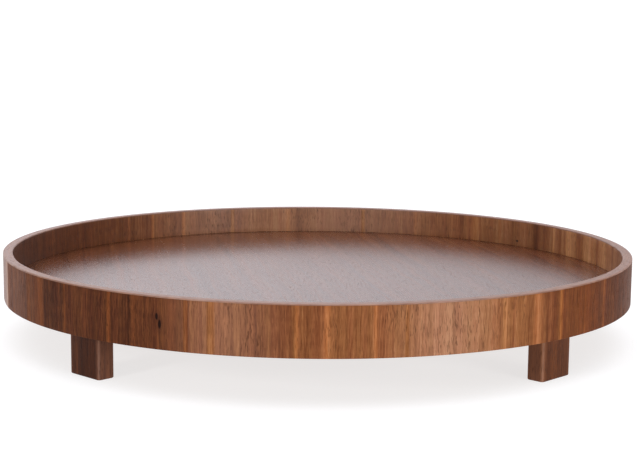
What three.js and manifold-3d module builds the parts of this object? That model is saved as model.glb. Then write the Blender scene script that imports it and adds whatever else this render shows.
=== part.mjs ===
// Large round serving tray: a bent plywood hoop glued round a plywood panel, faced with walnut veneer,
// on four solid walnut feet that are doweled to the underside of the panel.
// Millimetres, +Z up. The origin is the centre of the footprint, on the surface the feet stand on.
import * as THREE from "three";
import { mergeVertices } from "three/addons/utils/BufferGeometryUtils.js";
import Module from "manifold-3d";

// ---- Driving dimensions ----
const TRAY_DIAMETER = 600; // over the outer veneer
const RIM_WALL = 9; // hoop with both veneers
const RIM_ABOVE_PANEL = 28; // from the panel's show face up to the top of the hoop
const PANEL_THICKNESS = 9; // plywood with both veneers
const RIM_BELOW_PANEL = 6; // from the hoop's lower edge up to the panel's underside
const FLOOR_GAP = 40; // from the feet's soles up to the hoop's lower edge
const VENEER = 0.6; // walnut veneer on the hoop and the panel
const EDGE_BAND = 1.2; // solid walnut band on the hoop's upper edge
const EDGE_ROUND = 0.8; // rounding of the edge band's two corners
const GROOVE_DEPTH = 3; // groove in the hoop that holds the panel's edge
const SERVING_MARGIN = 3; // strip of the panel's face beside the hoop, outside the flat serving face

const FOOT_COUNT = 4;
const FOOT_WIDTH = 40; // along the hoop
const FOOT_THICKNESS = 17; // towards the tray's centre
const FOOT_ROUND = 3; // vertical edges
const FOOT_CHAMFER = 1; // round the sole
const FOOT_INSET = 9; // from the hoop's inner face to the foot's outer face
const FIRST_FOOT_ANGLE = 45; // degrees from +X

const DOWELS_PER_FOOT = 2;
const DOWEL_DIAMETER = 8;
const DOWEL_LENGTH = 24;
const DOWEL_CHAMFER = 1;
const DOWEL_SPACING = 18; // centre to centre, along the foot's width
const DOWEL_COVER = 2; // panel core left above a dowel's hole

const GLUE_LINE = 0.3; // clearance between glued faces
const HOLE_CLEARANCE = 0.3; // round a dowel, and past each of its ends
const GROOVE_CLEARANCE = 0.3; // round the panel's edge in the groove

// ---- How finely round shapes are divided ----
const HOOP_SEGMENTS = 72;
const DOWEL_SEGMENTS = 16;
const CORNER_SEGMENTS = 4; // in a foot's quarter round
const BAND_CORNER_SEGMENTS = 2; // in the edge band's quarter rounds

// ---- Derived sizes ----
const outerRadius = TRAY_DIAMETER / 2;
const innerRadius = outerRadius - RIM_WALL;
const skin = VENEER + GLUE_LINE; // a veneer with the glue line behind it
const coreOuterRadius = outerRadius - skin;
const coreInnerRadius = innerRadius + skin;

const rimBottom = FLOOR_GAP;
const panelBottom = rimBottom + RIM_BELOW_PANEL;
const panelTop = panelBottom + PANEL_THICKNESS;
const rimTop = panelTop + RIM_ABOVE_PANEL;
const bandBottom = rimTop - EDGE_BAND;
const hoopTop = bandBottom - GLUE_LINE; // core and side veneers end under the edge band

const panelRadius = innerRadius + GROOVE_DEPTH - GROOVE_CLEARANCE;
const grooveRadius = innerRadius + GROOVE_DEPTH;
const grooveTop = panelTop + GROOVE_CLEARANCE;
const grooveBottom = panelBottom - GROOVE_CLEARANCE;
const panelCoreTop = panelTop - skin;
const panelCoreBottom = panelBottom + skin;

const footTop = panelBottom - GLUE_LINE;
const footRadius = innerRadius - FOOT_INSET - FOOT_THICKNESS / 2; // tray's centre to foot's centre
const dowelTop = panelCoreTop - DOWEL_COVER - HOLE_CLEARANCE;
const dowelBottom = dowelTop - DOWEL_LENGTH;
const holeRadius = DOWEL_DIAMETER / 2 + HOLE_CLEARANCE;

// ---- Materials ----
const wood = (color, roughness) => new THREE.MeshStandardMaterial({ color, roughness, metalness: 0 });
const paint = {
  rimOuter: wood(0x8a5a3c, 0.42),
  rimInner: wood(0x84563f, 0.42),
  rimEdge: wood(0x9c7464, 0.4),
  panelFace: wood(0x6e4737, 0.45),
  panelBack: wood(0x7a5240, 0.6),
  plywood: wood(0xb58e66, 0.7),
  foot: wood(0x6a432f, 0.45),
  dowel: wood(0xc9a67a, 0.65),
};

// ---- Booleans ----
const wasm = await Module();
wasm.setup();

function toSolid(geometry) {
  const bare = geometry.clone();
  bare.deleteAttribute("normal");
  bare.deleteAttribute("uv");
  const merged = mergeVertices(bare, 1e-4);
  const mesh = new wasm.Mesh({
    numProp: 3,
    vertProperties: merged.attributes.position.array,
    triVerts: new Uint32Array(merged.index.array),
  });
  return new wasm.Manifold(mesh);
}

function toGeometry(solid) {
  const mesh = solid.getMesh();
  const geometry = new THREE.BufferGeometry();
  geometry.setAttribute("position", new THREE.BufferAttribute(mesh.vertProperties, mesh.numProp));
  geometry.setIndex(new THREE.BufferAttribute(mesh.triVerts, 1));
  geometry.computeVertexNormals();
  return geometry;
}

function cut(geometry, cutters) {
  const solid = cutters.reduce((rest, cutter) => rest.subtract(toSolid(cutter)), toSolid(geometry));
  return toGeometry(solid);
}

// ---- Shapes ----
// A profile is a list of [radius, height] pairs with the material to its left, turned about +Z.
function turned(profile, segments) {
  const points = profile.map(([radius, height]) => new THREE.Vector2(radius, height));
  return new THREE.LatheGeometry(points, segments).rotateX(Math.PI / 2);
}

function closed(profile) {
  return [...profile, profile[0]];
}

function ring(inner, outer, bottom, top) {
  const profile = [
    [inner, bottom],
    [outer, bottom],
    [outer, top],
    [inner, top],
  ];
  return turned(closed(profile), HOOP_SEGMENTS);
}

function disc(radius, bottom, top, segments = HOOP_SEGMENTS) {
  const profile = [
    [0, bottom],
    [radius, bottom],
    [radius, top],
    [0, top],
  ];
  return turned(profile, segments);
}

// Points of a quarter round from one angle to another, about a centre in the profile's plane.
function quarterRound(centreRadius, centreHeight, size, fromDegrees) {
  return Array.from({ length: BAND_CORNER_SEGMENTS + 1 }, (_, step) => {
    const angle = THREE.MathUtils.degToRad(fromDegrees + (90 * step) / BAND_CORNER_SEGMENTS);
    return [centreRadius + size * Math.cos(angle), centreHeight + size * Math.sin(angle)];
  });
}

function rimCoreShape() {
  const profile = [
    [coreInnerRadius, rimBottom],
    [coreOuterRadius, rimBottom],
    [coreOuterRadius, hoopTop],
    [coreInnerRadius, hoopTop],
    [coreInnerRadius, grooveTop],
    [grooveRadius, grooveTop],
    [grooveRadius, grooveBottom],
    [coreInnerRadius, grooveBottom],
  ];
  return turned(closed(profile), HOOP_SEGMENTS);
}

// The show face is divided at the serving margin, so that the serving face ends inside the hoop.
function panelTopVeneerShape() {
  const profile = [
    [0, panelTop - VENEER],
    [panelRadius, panelTop - VENEER],
    [panelRadius, panelTop],
    [innerRadius - SERVING_MARGIN, panelTop],
    [0, panelTop],
  ];
  return turned(profile, HOOP_SEGMENTS);
}

function edgeBandShape() {
  const roundHeight = rimTop - EDGE_ROUND;
  const profile = [
    [innerRadius, bandBottom],
    [outerRadius, bandBottom],
    ...quarterRound(outerRadius - EDGE_ROUND, roundHeight, EDGE_ROUND, 0),
    ...quarterRound(innerRadius + EDGE_ROUND, roundHeight, EDGE_ROUND, 90),
  ];
  return turned(closed(profile), HOOP_SEGMENTS);
}

// A foot stands on its chamfered sole, with its width along X and its centre on the Z axis.
function footBlock() {
  const x = FOOT_WIDTH / 2 - FOOT_CHAMFER;
  const y = FOOT_THICKNESS / 2 - FOOT_CHAMFER;
  const round = FOOT_ROUND - FOOT_CHAMFER;
  const outline = new THREE.Shape();
  outline.moveTo(round - x, -y);
  outline.lineTo(x - round, -y);
  outline.absarc(x - round, round - y, round, -Math.PI / 2, 0, false);
  outline.lineTo(x, y - round);
  outline.absarc(x - round, y - round, round, 0, Math.PI / 2, false);
  outline.lineTo(round - x, y);
  outline.absarc(round - x, y - round, round, Math.PI / 2, Math.PI, false);
  outline.lineTo(-x, round - y);
  outline.absarc(round - x, round - y, round, Math.PI, (3 * Math.PI) / 2, false);
  const block = new THREE.ExtrudeGeometry(outline, {
    depth: footTop - 2 * FOOT_CHAMFER,
    curveSegments: CORNER_SEGMENTS,
    bevelEnabled: true,
    bevelThickness: FOOT_CHAMFER,
    bevelSize: FOOT_CHAMFER,
    bevelSegments: 1,
  });
  return block.translate(0, 0, FOOT_CHAMFER);
}

function dowelShape() {
  const radius = DOWEL_DIAMETER / 2;
  const profile = [
    [0, dowelBottom],
    [radius - DOWEL_CHAMFER, dowelBottom],
    [radius, dowelBottom + DOWEL_CHAMFER],
    [radius, dowelTop - DOWEL_CHAMFER],
    [radius - DOWEL_CHAMFER, dowelTop],
    [0, dowelTop],
  ];
  return turned(profile, DOWEL_SEGMENTS);
}

// ---- Places ----
// Each foot's frame: X along the hoop, Y out from the tray's centre.
const footFrames = Array.from({ length: FOOT_COUNT }, (_, index) => {
  const angle = THREE.MathUtils.degToRad(FIRST_FOOT_ANGLE + (360 * index) / FOOT_COUNT);
  return new THREE.Matrix4()
    .makeRotationZ(angle - Math.PI / 2)
    .multiply(new THREE.Matrix4().makeTranslation(0, footRadius, 0));
});
const dowelOffsets = Array.from(
  { length: DOWELS_PER_FOOT },
  (_, index) => (index - (DOWELS_PER_FOOT - 1) / 2) * DOWEL_SPACING,
);

// A hole for a dowel, from one height to another, at an offset along the foot's width.
function dowelHole(offset, bottom, top) {
  return disc(holeRadius, bottom, top, DOWEL_SEGMENTS).translate(offset, 0, 0);
}

function dowelHolesInTray(bottom, top) {
  return footFrames.flatMap((frame) =>
    dowelOffsets.map((offset) => dowelHole(offset, bottom, top).applyMatrix4(frame)),
  );
}

// ---- Assembly ----
const tray = new THREE.Group();

function add(name, geometry, material, parent = tray) {
  const mesh = new THREE.Mesh(geometry, material);
  mesh.name = name;
  parent.add(mesh);
}

function addRim() {
  const innerBack = innerRadius + VENEER; // the inner veneers' glued face
  add("rim_core", rimCoreShape(), paint.plywood);
  add("rim_outer_veneer", ring(outerRadius - VENEER, outerRadius, rimBottom, hoopTop), paint.rimOuter);
  add("rim_inner_veneer", ring(innerRadius, innerBack, grooveTop, hoopTop), paint.rimInner);
  add("rim_lower_inner_veneer", ring(innerRadius, innerBack, rimBottom, grooveBottom), paint.rimInner);
  add("rim_edge_band", edgeBandShape(), paint.rimEdge);
}

function addPanel() {
  const core = disc(panelRadius, panelCoreBottom, panelCoreTop);
  const coreHoles = dowelHolesInTray(panelCoreBottom - GLUE_LINE, dowelTop + HOLE_CLEARANCE);
  const back = disc(panelRadius, panelBottom, panelBottom + VENEER);
  const backHoles = dowelHolesInTray(panelBottom - GLUE_LINE, panelBottom + skin);
  add("panel_core", cut(core, coreHoles), paint.plywood);
  add("panel_top_veneer", panelTopVeneerShape(), paint.panelFace);
  add("panel_back_veneer", cut(back, backHoles), paint.panelBack);
}

function addFeet() {
  const holes = dowelOffsets.map((offset) =>
    dowelHole(offset, dowelBottom - HOLE_CLEARANCE, footTop + GLUE_LINE),
  );
  const foot = cut(footBlock(), holes);
  footFrames.forEach((frame, footIndex) => {
    const footName = `foot_${footIndex + 1}`;
    const station = new THREE.Group();
    station.applyMatrix4(frame);
    tray.add(station);
    add(footName, foot, paint.foot, station);
    dowelOffsets.forEach((offset, dowelIndex) => {
      const letter = "abcdefgh"[dowelIndex];
      add(`${footName}_dowel_${letter}`, dowelShape().translate(offset, 0, 0), paint.dowel, station);
    });
  });
}

addRim();
addPanel();
addFeet();

export default tray;
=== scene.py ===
"""Looks of the round walnut tray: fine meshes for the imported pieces, their materials, studio and camera.

Lengths are metres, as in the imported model. Angles round the hoop are degrees from its front, positive
towards the right of someone facing the front.
"""
import math

import bmesh
import bpy
from mathutils import Matrix, Vector


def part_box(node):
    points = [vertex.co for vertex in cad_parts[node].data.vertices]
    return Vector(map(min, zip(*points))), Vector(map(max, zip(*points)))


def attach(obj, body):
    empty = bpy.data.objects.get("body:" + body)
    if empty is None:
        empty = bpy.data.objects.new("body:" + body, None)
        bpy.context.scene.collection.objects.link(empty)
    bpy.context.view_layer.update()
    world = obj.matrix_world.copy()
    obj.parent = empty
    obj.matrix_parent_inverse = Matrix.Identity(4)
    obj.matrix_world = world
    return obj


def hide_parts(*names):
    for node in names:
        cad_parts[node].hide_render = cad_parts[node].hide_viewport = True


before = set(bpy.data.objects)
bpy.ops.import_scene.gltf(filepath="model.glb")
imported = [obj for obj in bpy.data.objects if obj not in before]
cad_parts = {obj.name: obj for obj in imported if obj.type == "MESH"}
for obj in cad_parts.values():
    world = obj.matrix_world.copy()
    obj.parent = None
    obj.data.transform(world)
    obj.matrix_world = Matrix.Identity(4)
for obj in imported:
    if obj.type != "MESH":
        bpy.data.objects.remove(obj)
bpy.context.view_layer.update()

MM = 0.001
GLUE_GAP = 0.3 * MM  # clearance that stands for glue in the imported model
FRONT_TURN = math.radians(1.1)  # the front lies this far clockwise of -Y, seen from above


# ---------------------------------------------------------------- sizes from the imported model


def points_of(node):
    return [vertex.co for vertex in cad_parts[node].data.vertices]


def radii_of(node):
    radii = [math.hypot(point.x, point.y) for point in points_of(node)]
    return min(radii), max(radii)


def heights_of(node):
    low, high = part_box(node)
    return low[2], high[2]


OUTER_RADIUS = radii_of("rim_outer_veneer")[1]
INNER_RADIUS = radii_of("rim_inner_veneer")[0]
VENEER_BACK_OUTSIDE = radii_of("rim_outer_veneer")[0]
VENEER_BACK_INSIDE = radii_of("rim_inner_veneer")[1]
PANEL_RADIUS = radii_of("panel_top_veneer")[1]
GROOVE_RADIUS = PANEL_RADIUS + GLUE_GAP
RIM_BOTTOM = heights_of("rim_outer_veneer")[0]
BAND_BOTTOM, RIM_TOP = heights_of("rim_edge_band")
INNER_VENEER_BOTTOM = heights_of("rim_inner_veneer")[0]
LOWER_VENEER_TOP = heights_of("rim_lower_inner_veneer")[1]
PANEL_TOP = heights_of("panel_top_veneer")[1]
PANEL_BOTTOM = heights_of("panel_back_veneer")[0]
VENEER = PANEL_TOP - heights_of("panel_top_veneer")[0]

# The hoop is bent round and scarfed. Behind the joint it dips a little inside the true circle.
SCARF_ANGLE = -68.0
SCARF_SPAN = math.radians(16)  # how far round the dip reaches
SCARF_DIP = 0.4 * MM
DIP_SCALE = 27 / 4  # brings the peak of t * (1 - t) ** 2 to 1
PAINTED_SHEEN_START, PAINTED_SHEEN_END = -77, -80  # the painted sheen, a pale colour standing in for reflected light on the strip behind the scarf, fades out between these
SEAM = 0.04 * MM  # hairline between neighbouring veneers
FOOT_ROUND = 3 * MM  # upright edges of a foot
FOOT_EASE = 1.2 * MM  # lower edges of a foot
TIGHT = 0.05 * MM  # round on the veneer edges that lie against another piece
CRISP = 0.1 * MM  # round on the other thin edges, at the seams and round the panel
LOWER_ROUND_OUTSIDE, LOWER_ROUND_INSIDE = 0.4 * MM, 0.25 * MM  # lower edges of the hoop's veneers
BAND_ROUND_OUTSIDE, BAND_ROUND_INSIDE = 1.1 * MM, 1.15 * MM  # upper edges of the band


# ---------------------------------------------------------------- meshes


def hoop_point(radius, turn):
    """A point at that radius, turn radians round from the front, towards the right."""
    angle = turn - math.pi / 2 - FRONT_TURN
    behind = (math.radians(SCARF_ANGLE) - turn) % (2 * math.pi) / SCARF_SPAN
    if behind < 1:
        radius -= SCARF_DIP * DIP_SCALE * behind * (1 - behind) ** 2
    return radius * math.cos(angle), radius * math.sin(angle)


def link(name, mesh, material, slot, *nodes):
    """Makes the mesh a piece on the tray's one body, standing for those CAD nodes."""
    piece = bpy.data.objects.new(name, mesh)
    bpy.context.scene.collection.objects.link(piece)
    mesh.materials.append(material)
    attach(piece, "root")
    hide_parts(*nodes)


def finished(bm, name, sharp_degrees=35):
    bmesh.ops.recalc_face_normals(bm, faces=bm.faces)
    mesh = bpy.data.meshes.new(name)
    bm.to_mesh(mesh)
    bm.free()
    mesh.polygons.foreach_set("use_smooth", [True] * len(mesh.polygons))
    mesh.set_sharp_from_angle(angle=math.radians(sharp_degrees))
    return mesh


def arc(centre, radius, start, end, steps=5):
    """Points of a round about the centre, between two angles in degrees."""
    made = []
    for step in range(steps + 1):
        angle = math.radians(start + (end - start) * step / steps)
        made.append((centre[0] + radius * math.cos(angle), centre[1] + radius * math.sin(angle)))
    return made


def divided(profile, longest):
    """The closed profile with points added, so that no side is longer than longest."""
    made = []
    for (r0, z0), (r1, z1) in zip(profile, profile[1:] + profile[:1]):
        parts = max(1, math.ceil(math.hypot(r1 - r0, z1 - z0) / longest))
        for part in range(parts):
            share = part / parts
            made.append((r0 + (r1 - r0) * share, z0 + (z1 - z0) * share))
    return made


def rounded_section(inner, outer, low, high, rounds):
    """Closed profile of a rectangle, with rounds for inner low, outer low, outer high and inner high."""
    low_in, low_out, high_out, high_in = rounds
    corners = arc((inner + low_in, low + low_in), low_in, 180, 270)
    corners += arc((outer - low_out, low + low_out), low_out, 270, 360)
    corners += arc((outer - high_out, high - high_out), high_out, 0, 90)
    corners += arc((inner + high_in, high - high_in), high_in, 90, 180)
    return corners


def hoop_mesh(name, profile, segments=1080, longest=6 * MM):
    """The profile carried once round the hoop."""
    ring = divided(profile, longest)
    bm = bmesh.new()
    rows = []
    for segment in range(segments):
        turn = math.radians(SCARF_ANGLE) + 2 * math.pi * segment / segments
        row = []
        for radius, height in ring:
            x, y = hoop_point(radius, turn)
            row.append(bm.verts.new((x, y, height)))
        rows.append(row)
    count = len(ring)
    for here, there in zip(rows, rows[1:] + rows[:1]):
        for index in range(count):
            after = (index + 1) % count
            bm.faces.new((here[index], there[index], there[after], here[after]))
    return finished(bm, name)


def disc_mesh(name, radius, low, high, edge_round, segments=720, rings=12):
    """A flat round sheet with eased edges and rings of faces across it."""
    profile = [(radius * step / rings, low) for step in range(1, rings)]
    profile += arc((radius - edge_round, low + edge_round), edge_round, 270, 360, 3)
    profile += arc((radius - edge_round, high - edge_round), edge_round, 0, 90, 3)
    profile += [(radius * step / rings, high) for step in range(rings - 1, 0, -1)]
    bm = bmesh.new()
    rows = []
    for segment in range(segments):
        angle = 2 * math.pi * segment / segments
        rows.append([bm.verts.new((r * math.cos(angle), r * math.sin(angle), z)) for r, z in profile])
    for here, there in zip(rows, rows[1:] + rows[:1]):
        for index in range(len(profile) - 1):
            bm.faces.new((here[index], there[index], there[index + 1], here[index + 1]))
    for index, height in ((0, low), (-1, high)):
        middle = bm.verts.new((0, 0, height))
        for here, there in zip(rows, rows[1:] + rows[:1]):
            bm.faces.new((middle, here[index], there[index]))
    return finished(bm, name)


def foot_frame(node):
    """(matrix with X along the hoop and Y outwards, half width, half thickness, sole's height) of a foot."""
    low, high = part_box(node)
    centre = Vector(((low[0] + high[0]) / 2, (low[1] + high[1]) / 2, 0))
    turn = Matrix.Rotation(math.atan2(centre.y, centre.x) - math.pi / 2, 4, "Z")
    place = Matrix.Translation(centre) @ turn
    local = [place.inverted() @ point for point in points_of(node)]
    return place, max(p.x for p in local), max(p.y for p in local), low[2]


def foot_mesh(name, place, half_width, half_thickness, low, high):
    """A block with rounded upright edges, an eased sole and a flat top."""
    corner_steps, ease_steps, wall_steps = 6, 4, 8
    levels = []
    for step in range(ease_steps + 1):
        slope = math.radians(90 * (1 - step / ease_steps))
        levels.append((low + FOOT_EASE * (1 - math.sin(slope)), FOOT_EASE * (1 - math.cos(slope))))
    wall = high - low - FOOT_EASE
    levels += [(low + FOOT_EASE + wall * step / wall_steps, 0) for step in range(1, wall_steps + 1)]
    bm = bmesh.new()
    rows = []
    for height, inset in levels:
        row = []
        for sx, sy, start in ((1, -1, 270), (1, 1, 0), (-1, 1, 90), (-1, -1, 180)):
            centre = (sx * (half_width - FOOT_ROUND), sy * (half_thickness - FOOT_ROUND))
            for px, py in arc(centre, FOOT_ROUND - inset, start, start + 90, corner_steps):
                row.append(bm.verts.new(place @ Vector((px, py, height))))
        rows.append(row)
    count = len(rows[0])
    for here, there in zip(rows, rows[1:]):
        for index in range(count):
            after = (index + 1) % count
            bm.faces.new((here[index], here[after], there[after], there[index]))
    bm.faces.new(list(reversed(rows[0])))
    bm.faces.new(rows[-1])
    return finished(bm, name, sharp_degrees=40)


# ---------------------------------------------------------------- material nodes


class Nodes:
    """Builds the nodes of a material or world. Most of its methods return an output socket."""

    def __init__(self, owner):
        self.owner = owner
        owner.use_nodes = True
        self.tree = owner.node_tree
        self.tree.nodes.clear()

    def add(self, kind, **settings):
        node = self.tree.nodes.new(kind)
        for key, value in settings.items():
            setattr(node, key, value)
        return node

    def feed(self, node, name, value):
        socket = node.inputs[name]
        if isinstance(value, bpy.types.NodeSocket):
            self.tree.links.new(value, socket)
        else:
            socket.default_value = value

    def math(self, operation, *values, clamp=False):
        node = self.add("ShaderNodeMath", operation=operation, use_clamp=clamp)
        for index, value in enumerate(values):
            self.feed(node, index, value)
        return node.outputs[0]

    def total(self, *values):
        result = values[0]
        for value in values[1:]:
            result = self.math("ADD", result, value)
        return result

    def weighted(self, x, y, by_x, by_y):
        """x * by_x + y * by_y."""
        return self.total(self.math("MULTIPLY", x, by_x), self.math("MULTIPLY", y, by_y))

    def length(self, x, y):
        """The square root of x * x + y * y."""
        return self.math("SQRT", self.weighted(x, y, x, y))

    def about_zero(self, value, strength):
        """A 0 to 1 pattern as a swing about zero."""
        return self.math("MULTIPLY", self.math("SUBTRACT", value, 0.5), strength)

    def map(self, value, low, high, new_low=0.0, new_high=1.0, smooth=True):
        kind = "SMOOTHSTEP" if smooth else "LINEAR"
        node = self.add("ShaderNodeMapRange", interpolation_type=kind, clamp=True)
        self.feed(node, "Value", value)
        self.feed(node, "From Min", low)
        self.feed(node, "From Max", high)
        self.feed(node, "To Min", new_low)
        self.feed(node, "To Max", new_high)
        return node.outputs[0]

    def position(self):
        split = self.add("ShaderNodeSeparateXYZ")
        self.tree.links.new(self.add("ShaderNodeTexCoord").outputs["Object"], split.inputs[0])
        return split.outputs

    def vector(self, x, y, z=0.0):
        node = self.add("ShaderNodeCombineXYZ")
        for index, value in enumerate((x, y, z)):
            self.feed(node, index, value)
        return node.outputs[0]

    def noise(self, vector, detail=2.0):
        node = self.add("ShaderNodeTexNoise", noise_dimensions="3D")
        self.feed(node, "Vector", vector)
        self.feed(node, "Scale", 1.0)
        self.feed(node, "Detail", detail)
        self.feed(node, "Roughness", 0.5)
        return node.outputs["Fac"]

    def ramp(self, value, stops):
        """Colour at a value, from (place, colour or grey level) stops."""
        node = self.add("ShaderNodeValToRGB")
        ramp = node.color_ramp
        while len(ramp.elements) < len(stops):
            ramp.elements.new(1.0)
        for element, (place, colour) in zip(ramp.elements, stops):
            element.position = place
            element.color = (*colour, 1.0) if isinstance(colour, tuple) else (colour, colour, colour, 1.0)
        self.feed(node, "Fac", value)
        return node.outputs["Color"]

    def mix(self, factor, first, second, blend="MIX"):
        node = self.add("ShaderNodeMix", data_type="RGBA", blend_type=blend)
        self.feed(node, "Factor", factor)
        for name, value in (("A", first), ("B", second)):
            socket = [s for s in node.inputs if s.name == name and s.type == "RGBA"][0]
            if isinstance(value, bpy.types.NodeSocket):
                self.tree.links.new(value, socket)
            else:
                socket.default_value = (*value, 1.0)
        return [s for s in node.outputs if s.type == "RGBA"][0]

    def surface(self, colour, roughness, height=None, bump=0.1 * MM, specular=0.5, glow=0.0):
        shader = self.add("ShaderNodeBsdfPrincipled")
        self.feed(shader, "Base Color", colour)
        self.feed(shader, "Roughness", roughness)
        shader.inputs["Specular IOR Level"].default_value = specular
        shader.inputs["Emission Color"].default_value = (1, 1, 1, 1)
        shader.inputs["Emission Strength"].default_value = glow
        if height is not None:
            node = self.add("ShaderNodeBump")
            self.feed(node, "Height", height)
            node.inputs["Distance"].default_value = bump
            self.tree.links.new(node.outputs[0], shader.inputs["Normal"])
        output = self.add("ShaderNodeOutputMaterial")
        self.tree.links.new(shader.outputs[0], output.inputs[0])
        return self.owner


def new_material(name):
    return Nodes(bpy.data.materials.new(name))


def srgb(red, green, blue):
    """Linear colour from 0 to 255 display values."""
    made = []
    for value in (red, green, blue):
        share = value / 255
        made.append(share / 12.92 if share <= 0.04045 else ((share + 0.055) / 1.055) ** 2.4)
    return tuple(made)


WALNUT = (
    (0.00, srgb(42, 21, 13)),
    (0.20, srgb(74, 40, 25)),
    (0.42, srgb(108, 62, 36)),
    (0.62, srgb(141, 90, 56)),
    (0.80, srgb(168, 118, 83)),
    (1.00, srgb(196, 152, 118)),
)
PORE = srgb(40, 21, 14)
KNOT = srgb(24, 13, 11)
PAINTED_SHEEN = srgb(176, 156, 150)  # painted sheen: a pale colour standing in for the reflected light on the strip behind the scarf
REDDISH = (1.02, 0.98, 0.99)
GOLDEN = (0.99, 1.02, 0.96)
AMBER = (1.09, 0.95, 0.72)  # tint of sap streaks and of warmer wood
ASHEN = srgb(158, 130, 117)  # greyer, bleached heartwood; on the feet it also gives the painted light of the narrow faces and the painted highlight of the upright edges


def walnut(nodes, across, along, seed, tone, pores=0.5, warp=2.5, figure=1.0, warmth=None, fine=1.0):
    """(colour, roughness, height) of walnut, from coordinates across and along its grain in millimetres.

    Warp bends the grain by so many millimetres, figure scales its bands and streaks, fine scales its
    fibres and pores its pores. Warmth runs from -1 for ashen wood to 1 for amber.
    """

    def field(position, width, length, offset, detail=2.0):
        x = nodes.math("MULTIPLY", position, 1 / width)
        y = nodes.math("MULTIPLY", along, 1 / length)
        return nodes.noise(nodes.vector(x, y, seed + offset), detail)

    figured = nodes.map(field(across, 26, 90, 60.3), 0.42, 0.62)
    drift = nodes.about_zero(field(across, 50, 70, 0.0), warp * 2)
    ripple = nodes.about_zero(field(across, 7, 9, 30.1), 3.2)
    bent = nodes.total(across, drift, nodes.math("MULTIPLY", ripple, figured))

    bands = field(bent, 10, 500, 1.7)
    streaks = field(bent, 2.6, 170, 3.1)
    fibres = field(bent, 1.1, 30, 5.9)
    hairs = field(bent, 0.6, 9, 8.3, 1.0)
    mottle = field(across, 16, 7, 17.5)
    level = nodes.total(
        tone,
        nodes.about_zero(bands, 0.26 * figure),
        nodes.about_zero(streaks, 0.28 * figure),
        nodes.about_zero(fibres, 0.34 * fine),
        nodes.about_zero(hairs, 0.26 * fine),
        nodes.about_zero(mottle, 0.12),
    )
    hue = nodes.mix(nodes.map(field(bent, 6, 320, 15.2), 0.35, 0.65), REDDISH, GOLDEN)
    colour = nodes.mix(1.0, nodes.ramp(level, WALNUT), hue, "MULTIPLY")
    if warmth is not None:
        colour = nodes.mix(nodes.math("ADD", warmth, 0.0, clamp=True), colour, AMBER, "MULTIPLY")
        colour = nodes.mix(nodes.math("MULTIPLY", warmth, -1.0, clamp=True), colour, ASHEN)
    pore = nodes.map(field(bent, 0.7, 7.5, 11.2, 1.0), 0.57, 0.66)
    shown = nodes.math("MULTIPLY", pore, nodes.map(figured, 0.0, 1.0, 0.35 * pores, pores))
    colour = nodes.mix(shown, colour, PORE)
    roughness = nodes.total(nodes.about_zero(streaks, 0.10), nodes.math("MULTIPLY", pore, 0.12))
    height = nodes.total(nodes.math("MULTIPLY", fibres, 0.35), nodes.math("MULTIPLY", pore, -1.0))
    return colour, roughness, height


def hoop_coordinates(nodes, radius):
    """(millimetres round the hoop, zero opposite the scarf; millimetres up; angle) of a point."""
    x, y, z = nodes.position()
    opposite = SCARF_ANGLE + 180
    zero = math.radians(opposite - 90) - FRONT_TURN
    cosine, sine = math.cos(zero), math.sin(zero)
    towards = nodes.weighted(x, y, cosine, sine)
    beside = nodes.weighted(x, y, -sine, cosine)
    angle = nodes.math("ARCTAN2", beside, towards)
    return nodes.math("MULTIPLY", angle, radius / MM), nodes.math("MULTIPLY", z, 1 / MM), angle


def from_scarf(degrees):
    """An angle from the front as radians in the range that hoop_coordinates gives."""
    return math.radians((degrees - SCARF_ANGLE) % 360 - 180)


def stripes(nodes, angle, places):
    """Adds up soft stripes along the grain, each (degrees from the front, half width in degrees, tone)."""
    made = []
    for degrees, half_width, strength in places:
        away = nodes.math("ABSOLUTE", nodes.math("SUBTRACT", angle, from_scarf(degrees)))
        made.append(nodes.map(away, math.radians(half_width), 0.0, 0.0, strength))
    return nodes.total(*made)


def tones(nodes, angle, places):
    """A tone that runs through (degrees from the front, tone) points round the hoop."""
    around = nodes.map(angle, -math.pi, math.pi, smooth=False)
    stops = sorted((from_scarf(degrees) / (2 * math.pi) + 0.5, tone) for degrees, tone in places)
    split = nodes.add("ShaderNodeSeparateColor")
    nodes.tree.links.new(nodes.ramp(around, stops), split.inputs[0])
    return split.outputs[0]


def offset_from(nodes, across, along, radius, place):
    """(across, along) distances from a place that is (degrees from the front, depth below the top)."""
    degrees, depth = place
    dx = nodes.math("SUBTRACT", across, from_scarf(degrees) * radius / MM)
    dy = nodes.math("SUBTRACT", along, RIM_TOP / MM - depth)
    return dx, dy


def spot(nodes, dx, dy, half_width, half_height, inside=0.0):
    """An oval spot: 1 out to the share inside of its radius, then fading to 0 at its edge."""
    across = nodes.math("MULTIPLY", dx, 1 / half_width)
    along = nodes.math("MULTIPLY", dy, 1 / half_height)
    return nodes.map(nodes.length(across, along), 1.0, inside)


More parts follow.
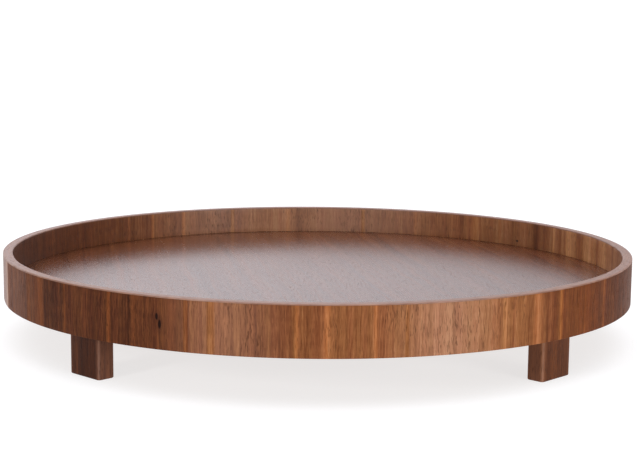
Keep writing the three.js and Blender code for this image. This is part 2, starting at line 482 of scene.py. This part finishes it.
def hoop_walnut(name, radius, figure, seed, specular, roughness, painted_sheen_strength=0.0):
    """Veneer on the hoop, from a figure of (tones, stripes, hues, knots).

    Each hue is (degrees from the front, half width in degrees, warmth), and each knot is
    (degrees from the front, depth, half width, half height) in millimetres.
    A strip behind the scarf is glossier, and paler with a painted sheen standing in for reflected light, by
    as much as its last argument.
    """
    tone_places, stripe_places, hue_places, knots = figure
    nodes = new_material(name)
    across, along, angle = hoop_coordinates(nodes, radius)
    streak = stripes(nodes, angle, stripe_places)
    tone = nodes.total(tones(nodes, angle, tone_places), streak)
    sap = nodes.math("MULTIPLY", nodes.math("MAXIMUM", streak, 0.0), 4.5)
    warmth = nodes.total(stripes(nodes, angle, hue_places), sap)
    bent, dark = across, 0.0
    for degrees, depth, half_width, half_height in knots:
        dx, dy = offset_from(nodes, across, along, radius, (degrees, depth))
        swirl = spot(nodes, dx, dy, half_width * 4.5, half_height * 2.2)
        pull = nodes.math("MULTIPLY", nodes.math("MULTIPLY", dx, swirl), 0.75)
        bent = nodes.math("SUBTRACT", bent, pull)
        tone = nodes.math("SUBTRACT", tone, nodes.math("MULTIPLY", swirl, 0.06))
        dark = nodes.math("MAXIMUM", dark, spot(nodes, dx, dy, half_width, half_height, 0.55))
    colour, gloss, height = walnut(nodes, bent, along, seed, tone, warmth=warmth)
    colour = nodes.mix(nodes.math("MULTIPLY", dark, 0.93), colour, KNOT)
    height = nodes.math("SUBTRACT", height, nodes.math("MULTIPLY", dark, 1.5))
    # Painted sheen: the strip behind the scarf is painted pale, standing in for reflected light, and is also
    # made glossier.
    painted_sheen_strip = nodes.map(angle, from_scarf(PAINTED_SHEEN_END), from_scarf(PAINTED_SHEEN_START), 0.0, painted_sheen_strength)
    colour = nodes.mix(painted_sheen_strip, colour, PAINTED_SHEEN)
    gloss = nodes.total(gloss, nodes.math("MULTIPLY", painted_sheen_strip, -0.3), roughness)
    return nodes.surface(colour, gloss, height, specular=specular)


# The last tone, 0.75 at 291.8 just behind the scarf, is painted sheen on the pale strip there.
OUTER_TONES = (
    (-67, 0.38), (-61, 0.32), (-58.5, 0.28), (-57, 0.34), (-51.5, 0.33), (-49.5, 0.17), (-43, 0.25),
    (-34, 0.22), (-25, 0.28), (-22, 0.38), (-19, 0.43), (-16, 0.56), (-11, 0.50), (-6, 0.45), (1, 0.50),
    (8, 0.53), (14, 0.56), (18, 0.70), (26, 0.64), (31, 0.60), (34, 0.52), (37, 0.54), (40, 0.40),
    (50, 0.34), (62, 0.24), (70, 0.32), (100, 0.45), (140, 0.36), (180, 0.50), (230, 0.40), (289, 0.45),
    (291.8, 0.75),
)
OUTER_STRIPES = (
    (-55.8, 0.9, 0.08), (-51.2, 1.3, 0.10), (-47.5, 0.8, -0.06), (-44.2, 0.7, 0.12), (-34.0, 0.7, 0.17),
    (-29.0, 1.0, 0.05), (-20.0, 0.5, 0.06), (-16.0, 0.9, 0.06), (-9.0, 0.4, -0.08), (-5.5, 0.4, -0.10),
    (-3.0, 0.6, 0.14), (-1.5, 0.5, -0.08), (1.5, 0.8, 0.17), (8.7, 0.5, 0.16), (13.5, 0.4, 0.05),
    (21.0, 0.5, -0.06), (30.0, 0.5, 0.12), (36.5, 1.6, 0.12), (38.6, 0.5, -0.08), (42.0, 0.7, 0.22),
    (48.5, 0.5, 0.06), (55.0, 1.0, 0.15), (62.0, 1.0, -0.06), (95.0, 0.8, 0.16), (118.0, 1.0, -0.12),
    (131.0, 1.1, 0.16), (158.0, 0.6, 0.16), (190.0, 0.7, 0.16), (205.0, 0.8, -0.12), (222.0, 1.0, 0.16),
    (260.0, 0.7, 0.16),
)
OUTER_HUES = ((-60, 8, -0.1), (-14, 12, -0.16), (20, 12, -0.2), (50, 12, 0.8), (61, 7, 0.9))
OUTER_KNOTS = ((-24.9, 16.2, 1.5, 3.4), (-24.4, 22.2, 1.7, 4.6))

INNER_TONES = (
    (-5, 0.48), (40, 0.46), (92, 0.70), (100, 0.78), (105, 0.76), (113, 0.76), (118, 0.72), (124, 0.60),
    (130, 0.60), (138, 0.60), (144, 0.54), (154, 0.54), (162, 0.57), (172, 0.60), (180, 0.67),
    (184, 0.56), (187, 0.68), (192, 0.62), (200, 0.55), (211, 0.58), (216, 0.54), (224, 0.46),
    (240, 0.38), (262, 0.27),
)
INNER_STRIPES = (
    (92.5, 1.6, -0.14), (98.0, 2.0, 0.14), (102.0, 1.2, -0.14), (105.5, 1.6, 0.12), (109.8, 2.4, -0.18),
    (114.0, 1.5, 0.18), (117.0, 0.8, -0.18), (119.2, 0.6, 0.22), (122.0, 1.2, -0.08),
    (125.0, 1.8, -0.22), (129.0, 1.2, 0.04), (132.0, 0.8, -0.08), (135.5, 0.8, 0.10),
    (142.0, 1.8, 0.12), (157.0, 0.5, 0.08), (169.5, 0.6, 0.10), (184.5, 1.5, -0.08), (187.0, 0.7, 0.08),
    (200.0, 0.6, 0.12), (212.0, 0.6, 0.18), (214.0, 0.8, -0.06), (217.0, 0.6, -0.05),
    (220.0, 0.6, 0.22), (221.5, 0.5, -0.08), (226.5, 0.4, 0.10), (229.5, 0.4, 0.10), (20.0, 0.8, 0.16),
    (35.0, 0.8, -0.1), (60.0, 1.0, 0.16), (-20.0, 0.8, 0.15), (-60.0, 0.8, 0.15),
)
INNER_HUES = ((103, 24, 1.0), (146, 12, 0.4), (174, 24, -0.26), (205, 18, -0.12))
INNER_KNOTS = ((130.5, 22.5, 2.4, 1.3),)


def rim_outer_material():
    figure = (OUTER_TONES, OUTER_STRIPES, OUTER_HUES, OUTER_KNOTS)
    return hoop_walnut(
        "walnut_rim_outer", OUTER_RADIUS, figure, seed=2.3, specular=0.03, roughness=0.46, painted_sheen_strength=0.34,
    )


def rim_inner_material():
    figure = (INNER_TONES, INNER_STRIPES, INNER_HUES, INNER_KNOTS)
    return hoop_walnut("walnut_rim_inner", INNER_RADIUS, figure, seed=7.9, specular=0.4, roughness=0.45)


# Worn corners: the wear fades in between these distances from the two faces, in millimetres; a foot's
# lighter corners are also a painted highlight.
RIM_WEAR = (1.2, 0.2)
FOOT_WEAR_AND_HIGHLIGHT = (2.4, 0.8)


def rim_edge_material():
    """The band on the hoop's top edge, its grain running round the hoop and its outer corner rubbed grey."""
    nodes = new_material("walnut_rim_edge")
    around, up, _ = hoop_coordinates(nodes, OUTER_RADIUS)
    x, y, _ = nodes.position()
    across = nodes.math("MULTIPLY", nodes.length(x, y), 1 / MM)
    wear_from, wear_to = RIM_WEAR
    corner = nodes.math(
        "MULTIPLY",
        nodes.map(across, OUTER_RADIUS / MM - wear_from, OUTER_RADIUS / MM - wear_to),
        nodes.map(up, RIM_TOP / MM - wear_from, RIM_TOP / MM - wear_to),
    )
    spread = nodes.noise(nodes.vector(nodes.math("MULTIPLY", around, 0.05), 0.0, 4.4), 3.0)
    patches = nodes.map(spread, 0.4, 0.65)
    lighter_edge = nodes.math("MULTIPLY", corner, patches)
    tone = nodes.math("MULTIPLY_ADD", lighter_edge, 0.08, 0.46)
    warmth = nodes.math("MULTIPLY_ADD", lighter_edge, -0.35, -0.25)
    colour, gloss, height = walnut(
        nodes, across, around, seed=4.1, tone=tone, pores=0.3, warp=1.0, figure=0.45, warmth=warmth,
    )
    return nodes.surface(colour, nodes.math("ADD", gloss, 0.44), height, bump=0.05 * MM)


LACQUER_X, LACQUER_Y = -0.17, 0.19  # the lacquer lies thickest, and shines most, round this point
LACQUER_NEAR, LACQUER_FAR = 0.08, 0.24  # and thins out between these distances from it
PANEL_GRAIN = math.radians(-81)  # direction of the panel's grain, from +X


def panel_material(name, seed, tone):
    """Walnut with its grain running nearly from front to back, under a satin lacquer."""
    nodes = new_material(name)
    x, y, _ = nodes.position()
    cosine, sine = math.cos(PANEL_GRAIN) / MM, math.sin(PANEL_GRAIN) / MM
    along = nodes.weighted(x, y, cosine, sine)
    across = nodes.weighted(x, y, -sine, cosine)
    colour, gloss, height = walnut(nodes, across, along, seed, tone, pores=0.16, warp=6.0, fine=0.5)
    away = nodes.length(nodes.math("SUBTRACT", x, LACQUER_X), nodes.math("SUBTRACT", y, LACQUER_Y))
    thick = nodes.map(away, LACQUER_NEAR, LACQUER_FAR, 1.0, 0.0)
    even = nodes.math("MULTIPLY_ADD", gloss, 0.5, 0.245)
    roughness = nodes.math("MULTIPLY_ADD", thick, -0.04, even)
    return nodes.surface(colour, roughness, height, bump=0.0025 * MM, specular=0.40)


def foot_walnut_material(name, place, half_width, half_thickness, seed, tone):
    """Solid walnut with upright grain: painted light makes the narrow faces paler and greyer, and the
    upright edges are lighter from wear and a painted highlight.
    """
    nodes = new_material(name)
    x, y, z = nodes.position()
    up = nodes.math("MULTIPLY", z, 1 / MM)

    def distance(column):
        """Millimetres from the block's middle along one of its own axes."""
        axis, centre = place.col[column], place.translation
        to_middle = (axis.x * centre.x + axis.y * centre.y) / MM
        return nodes.math("SUBTRACT", nodes.weighted(x, y, axis.x / MM, axis.y / MM), to_middle)

    def field(width, length, offset, detail=2.0):
        vector = nodes.vector(
            nodes.math("MULTIPLY", wide, 1 / width),
            nodes.math("MULTIPLY", thick, 1 / width),
            nodes.math("MULTIPLY_ADD", up, 1 / length, seed + offset),
        )
        return nodes.noise(vector, detail)

    wide, thick = distance(0), distance(1)
    half_width, half_thickness = half_width / MM, half_thickness / MM
    out_wide, out_thick = nodes.math("ABSOLUTE", wide), nodes.math("ABSOLUTE", thick)
    wear_from, wear_to = FOOT_WEAR_AND_HIGHLIGHT
    corner = nodes.math(
        "MULTIPLY",
        nodes.map(out_wide, half_width - wear_from, half_width - wear_to),
        nodes.map(out_thick, half_thickness - wear_from, half_thickness - wear_to),
    )
    # Painted light: the narrow faces, and the wide faces near them, are made paler and greyer.
    end = nodes.map(out_wide, half_width * 0.7, half_width)
    # Lighter upright edges: partly wear, partly a painted highlight.
    lighter_edge = nodes.math("MULTIPLY", corner, nodes.map(field(9, 12, 40.7), 0.3, 0.6, 0.5, 1.0))
    streaks = field(5, 230, 3.1)
    fibres = field(1.0, 40, 5.9)
    hairs = field(0.6, 9, 8.3, 1.0)
    pore = nodes.map(field(0.8, 8, 11.2, 1.0), 0.58, 0.68)
    level = nodes.total(
        tone,
        nodes.math("MULTIPLY", end, 0.12),
        nodes.math("MULTIPLY", lighter_edge, 0.13),
        nodes.about_zero(streaks, 0.40),
        nodes.about_zero(fibres, 0.28),
        nodes.about_zero(hairs, 0.20),
    )
    # Greyer at the upright edges (wear and painted highlight) and on the narrow faces (painted light).
    painted_light_and_wear_grey = nodes.math("MULTIPLY_ADD", corner, 0.2, nodes.math("MULTIPLY", end, 0.11))
    painted_light_and_wear_colour = nodes.mix(painted_light_and_wear_grey, nodes.ramp(level, WALNUT), ASHEN)
    colour = nodes.mix(nodes.math("MULTIPLY", pore, 0.45), painted_light_and_wear_colour, PORE)
    roughness = nodes.total(0.48, nodes.about_zero(streaks, 0.1))
    height = nodes.total(nodes.math("MULTIPLY", fibres, 0.35), nodes.math("MULTIPLY", pore, -1.0))
    return nodes.surface(colour, roughness, height, specular=0.05)


PLY_PAIR = 2.9 * MM  # a light ply and a dark one
FLECKS, LONG_FLECKS = 900, 60  # flecks in a metre of bare wood, across its grain and along it


def plywood_material():
    """Bare plywood whose plies alternate across the hoop's wall. The hidden core of the panel has it too."""
    nodes = new_material("plywood_edge")
    x, y, _ = nodes.position()
    depth = nodes.math("MULTIPLY", nodes.length(x, y), 1 / PLY_PAIR)
    ply = nodes.math("PINGPONG", depth, 0.5)
    vector = nodes.vector(nodes.math("MULTIPLY", x, FLECKS), nodes.math("MULTIPLY", y, FLECKS), 1.0)
    fine = nodes.noise(vector)
    level = nodes.total(nodes.map(ply, 0.2, 0.3), nodes.about_zero(fine, 0.5))
    plies = ((0.1, srgb(150, 110, 74)), (0.5, srgb(176, 136, 96)), (0.9, srgb(206, 170, 126)))
    colour = nodes.ramp(level, plies)
    return nodes.surface(colour, 0.65, fine)


def beech_material():
    nodes = new_material("beech")
    x, y, z = nodes.position()
    vector = nodes.vector(
        nodes.math("MULTIPLY", x, FLECKS),
        nodes.math("MULTIPLY", y, FLECKS),
        nodes.math("MULTIPLY", z, LONG_FLECKS),
    )
    fleck = nodes.noise(vector, 3.0)
    flecks = ((0.3, srgb(178, 138, 96)), (0.5, srgb(206, 168, 124)), (0.7, srgb(222, 190, 150)))
    colour = nodes.ramp(fleck, flecks)
    return nodes.surface(colour, 0.6, fleck, bump=0.05 * MM)


# ---------------------------------------------------------------- pieces


def add_rim():
    outer, inner = rim_outer_material(), rim_inner_material()
    face = rounded_section(
        VENEER_BACK_OUTSIDE, OUTER_RADIUS, RIM_BOTTOM, BAND_BOTTOM - SEAM,
        (TIGHT, LOWER_ROUND_OUTSIDE, CRISP, TIGHT),
    )
    link("outer_veneer", hoop_mesh("outer_veneer", face), outer, "rim_outer_walnut", "rim_outer_veneer")
    lining = rounded_section(
        INNER_RADIUS, VENEER_BACK_INSIDE, PANEL_TOP + SEAM, BAND_BOTTOM - SEAM,
        (TIGHT, TIGHT, TIGHT, CRISP),
    )
    link("inner_veneer", hoop_mesh("inner_veneer", lining), inner, "rim_inner_walnut", "rim_inner_veneer")
    skirt = rounded_section(
        INNER_RADIUS, VENEER_BACK_INSIDE, RIM_BOTTOM, LOWER_VENEER_TOP,
        (LOWER_ROUND_INSIDE, TIGHT, TIGHT, CRISP),
    )
    mesh = hoop_mesh("lower_inner_veneer", skirt, longest=3 * MM)
    link("lower_inner_veneer", mesh, inner, "rim_inner_walnut", "rim_lower_inner_veneer")
    band = rounded_section(
        INNER_RADIUS, OUTER_RADIUS, BAND_BOTTOM, RIM_TOP,
        (CRISP, CRISP, BAND_ROUND_OUTSIDE, BAND_ROUND_INSIDE),
    )
    mesh = hoop_mesh("edge_band", band, longest=1.5 * MM)
    link("edge_band", mesh, rim_edge_material(), "rim_edge_walnut", "rim_edge_band")
    gap = 0.02 * MM
    core_in, core_out = VENEER_BACK_INSIDE + gap, VENEER_BACK_OUTSIDE - gap
    core = [
        (core_in, RIM_BOTTOM + gap), (core_out, RIM_BOTTOM + gap), (core_out, BAND_BOTTOM - gap),
        (core_in, BAND_BOTTOM - gap), (core_in, INNER_VENEER_BOTTOM), (GROOVE_RADIUS, INNER_VENEER_BOTTOM),
        (GROOVE_RADIUS, LOWER_VENEER_TOP), (core_in, LOWER_VENEER_TOP),
    ]
    link("plywood_hoop", hoop_mesh("plywood_hoop", core), plywood_material(), "plywood", "rim_core")


def add_panel():
    show = disc_mesh("panel_face", PANEL_RADIUS, PANEL_TOP - VENEER, PANEL_TOP, CRISP)
    material = panel_material("walnut_panel", seed=12.4, tone=0.30)
    link("panel_face", show, material, "panel_walnut", "panel_top_veneer")
    back = disc_mesh("panel_back", PANEL_RADIUS, PANEL_BOTTOM, PANEL_BOTTOM + VENEER, CRISP)
    material = panel_material("walnut_panel_back", seed=21.7, tone=0.46)
    link("panel_back", back, material, "panel_back_walnut", "panel_back_veneer")


FOOT_TONES = {"foot_1": 0.34, "foot_2": 0.34, "foot_3": 0.16, "foot_4": 0.30}


def add_feet():
    for index, (node, tone) in enumerate(FOOT_TONES.items()):
        place, half_width, half_thickness, low = foot_frame(node)
        halves = half_width, half_thickness
        mesh = foot_mesh(node + "_block", place, *halves, low, PANEL_BOTTOM - SEAM)
        material = foot_walnut_material("walnut_" + node, place, *halves, 3.7 * index, tone)
        link(node + "_block", mesh, material, "foot_walnut", node)


def finish_hidden_nodes():
    """The panel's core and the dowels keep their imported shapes."""
    beech, plywood = beech_material(), bpy.data.materials["plywood_edge"]
    for name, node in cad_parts.items():
        if "dowel" in name or name == "panel_core":
            node.data.materials.clear()
            node.data.materials.append(beech if "dowel" in name else plywood)


# ---------------------------------------------------------------- studio


FLOOR_GLOW = 0.72  # the floor shines by itself, like a table lit from below
FLOOR_HALF = 60.0  # so wide that its far edge lies almost at the horizon
LIT_POINT = Vector((0, 0, 0.05))  # both lamps face it


def add_floor():
    half = FLOOR_HALF
    mesh = bpy.data.meshes.new("floor")
    corners = [(-half, -half, 0), (half, -half, 0), (half, half, 0), (-half, half, 0)]
    mesh.from_pydata(corners, [], [(0, 1, 2, 3)])
    floor = bpy.data.objects.new("floor", mesh)
    bpy.context.scene.collection.objects.link(floor)
    nodes = new_material("pale_floor")
    x, y, _ = nodes.position()
    cloud = nodes.noise(nodes.vector(nodes.math("MULTIPLY", x, 3.0), nodes.math("MULTIPLY", y, 3.0), 0.5))
    colour = nodes.ramp(cloud, ((0.3, srgb(150, 150, 150)), (0.7, srgb(156, 156, 156))))
    mesh.materials.append(nodes.surface(colour, 0.9, specular=0.1, glow=FLOOR_GLOW))


def add_area_light(name, place, size, power):
    light = bpy.data.lights.new(name, "AREA")
    light.shape = "RECTANGLE"
    light.size, light.size_y = size
    light.energy = power
    lamp = bpy.data.objects.new(name, light)
    lamp.location = place
    lamp.rotation_euler = (LIT_POINT - Vector(place)).to_track_quat("-Z", "Y").to_euler()
    bpy.context.scene.collection.objects.link(lamp)


ROOM_GLOW = 0.22  # dim walls of the studio
BACKDROP_LEFT, BACKDROP_RIGHT = 1.50, 0.76  # white backdrop behind the tray, brighter to the left
CEILING_GLOW = 2.0  # softboxes overhead
DAYLIGHT = (0.97, 0.98, 1.05)


def add_world():
    """Light by direction: a bright backdrop behind the tray, softboxes overhead, and dim walls."""
    world = bpy.data.worlds.new("studio")
    bpy.context.scene.world = world
    nodes = Nodes(world)
    split = nodes.add("ShaderNodeSeparateXYZ")
    nodes.tree.links.new(nodes.add("ShaderNodeTexCoord").outputs["Generated"], split.inputs[0])
    x, y, z = split.outputs
    behind = nodes.map(y, 0.55, 0.85)
    backdrop = nodes.map(x, -0.3, 0.3, BACKDROP_LEFT, BACKDROP_RIGHT, smooth=False)
    ceiling = nodes.map(z, 0.55, 0.95, 0.0, CEILING_GLOW)
    background = nodes.add("ShaderNodeBackground")
    background.inputs["Color"].default_value = (*DAYLIGHT, 1.0)
    strength = nodes.total(nodes.math("MULTIPLY", behind, backdrop), ceiling, ROOM_GLOW)
    nodes.feed(background, "Strength", strength)
    nodes.tree.links.new(background.outputs[0], nodes.add("ShaderNodeOutputWorld").inputs[0])


CAMERA_DISTANCE = 4.597 * OUTER_RADIUS  # from the middle of the rim's top
CAMERA_ELEVATION = math.radians(8.716)
CAMERA_ROLL = math.radians(0.521)
CAMERA_LENS = 79.90  # for a sensor 36 mm wide
AIM_OFFSET = Vector((0.0007, 0, 0.0083))  # aimed a little beside and above the middle of the rim's top


def add_camera():
    rim_centre = Vector((0, 0, RIM_TOP))
    level, rise = math.cos(CAMERA_ELEVATION), math.sin(CAMERA_ELEVATION)
    back = Vector((-level * math.sin(FRONT_TURN), -level * math.cos(FRONT_TURN), rise))
    data = bpy.data.cameras.new("camera")
    data.sensor_width = 36.0
    data.lens = CAMERA_LENS
    data.clip_end = 100
    camera = bpy.data.objects.new("camera", data)
    camera.location = rim_centre + back * CAMERA_DISTANCE
    aim = rim_centre + AIM_OFFSET - camera.location
    facing = aim.to_track_quat("-Z", "Y").to_matrix().to_4x4()
    roll = Matrix.Rotation(CAMERA_ROLL, 4, "Z")
    camera.matrix_world = Matrix.Translation(camera.location) @ facing @ roll
    bpy.context.scene.collection.objects.link(camera)
    bpy.context.scene.camera = camera


add_rim()
add_panel()
add_feet()
finish_hidden_nodes()
add_floor()
add_world()
add_area_light("key", place=(1.6, -1.9, 0.45), size=(1.0, 0.6), power=26)
add_area_light("fill", place=(-1.6, -1.8, 0.8), size=(0.4, 0.4), power=18)
add_camera()
bpy.context.scene.view_settings.view_transform = "Standard"
